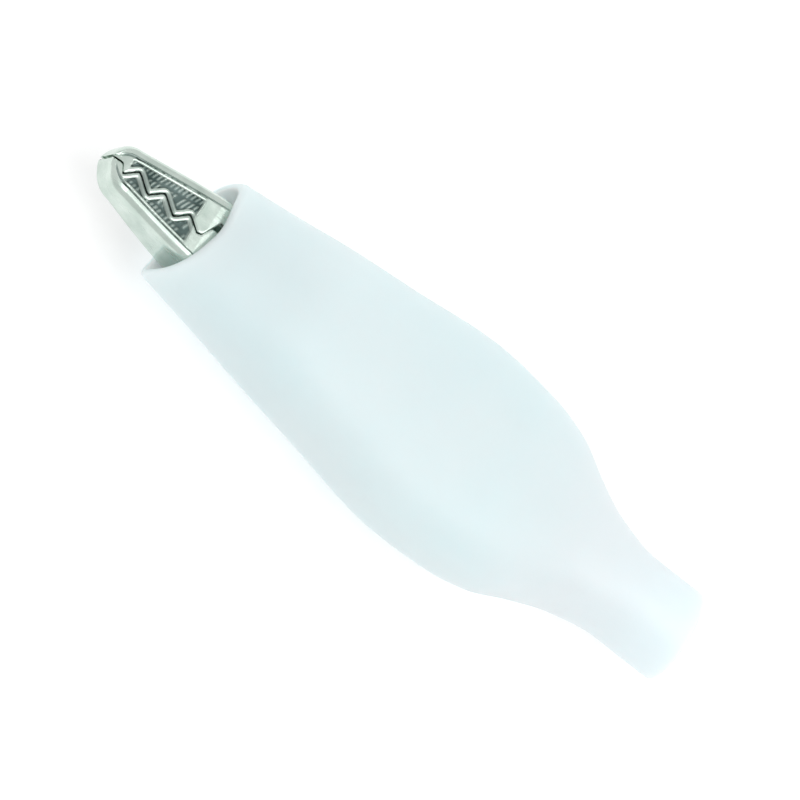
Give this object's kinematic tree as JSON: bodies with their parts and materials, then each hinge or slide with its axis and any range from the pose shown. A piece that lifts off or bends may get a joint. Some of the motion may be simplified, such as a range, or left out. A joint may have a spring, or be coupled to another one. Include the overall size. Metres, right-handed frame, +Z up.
{
  "type": "insulated alligator clip",
  "caption": "Insulated alligator clip: sprung toothed steel jaws on a rivet inside a soft hollow vinyl boot with a round cable neck.",
  "frame": {"origin": "middle of the footprint, on the surface that the clip lies on, flank down", "axes": "+X along the clip to the jaw tip, Y the way the jaws open with the fixed jaw at +Y, +Z up across the flanks"},
  "size_m": [0.05, 0.0142, 0.0086],
  "materials": {
    "boot_vinyl": "soft satin white vinyl with a faint cool tint",
    "jaw_plate": "bright nickel plate on stamped steel",
    "rivet_steel": "plated steel, formed heads",
    "spring_wire": "drawn spring wire",
    "screw_brass": "turned brass"
  },
  "bodies": {
    "root": {"insulating_boot": "boot_vinyl", "fixed_jaw": "jaw_plate", "pivot_rivet": "rivet_steel", "torsion_spring": "spring_wire"},
    "moving_jaw": {"moving_jaw": "jaw_plate"},
    "clamp_screw": {"clamp_screw": "screw_brass"}
  },
  "joints": [
    {"name": "jaw_hinge", "type": "hinge", "parent": "root", "child": "moving_jaw", "pos_m": [0.008, 0, 0.0043], "axis": [0, 0, -1], "range_deg": [0, 25], "stiffness_Nm_per_rad": 0.02, "springref_deg": -85.94, "deforming": ["torsion_spring", "insulating_boot"]},
    {"name": "screw_turn", "type": "hinge", "parent": "root", "child": "clamp_screw", "pos_m": [-0.0015, 0.00461, 0.0043], "axis": [0.1623, 0.9867, 0], "continuous": true}
  ]
}
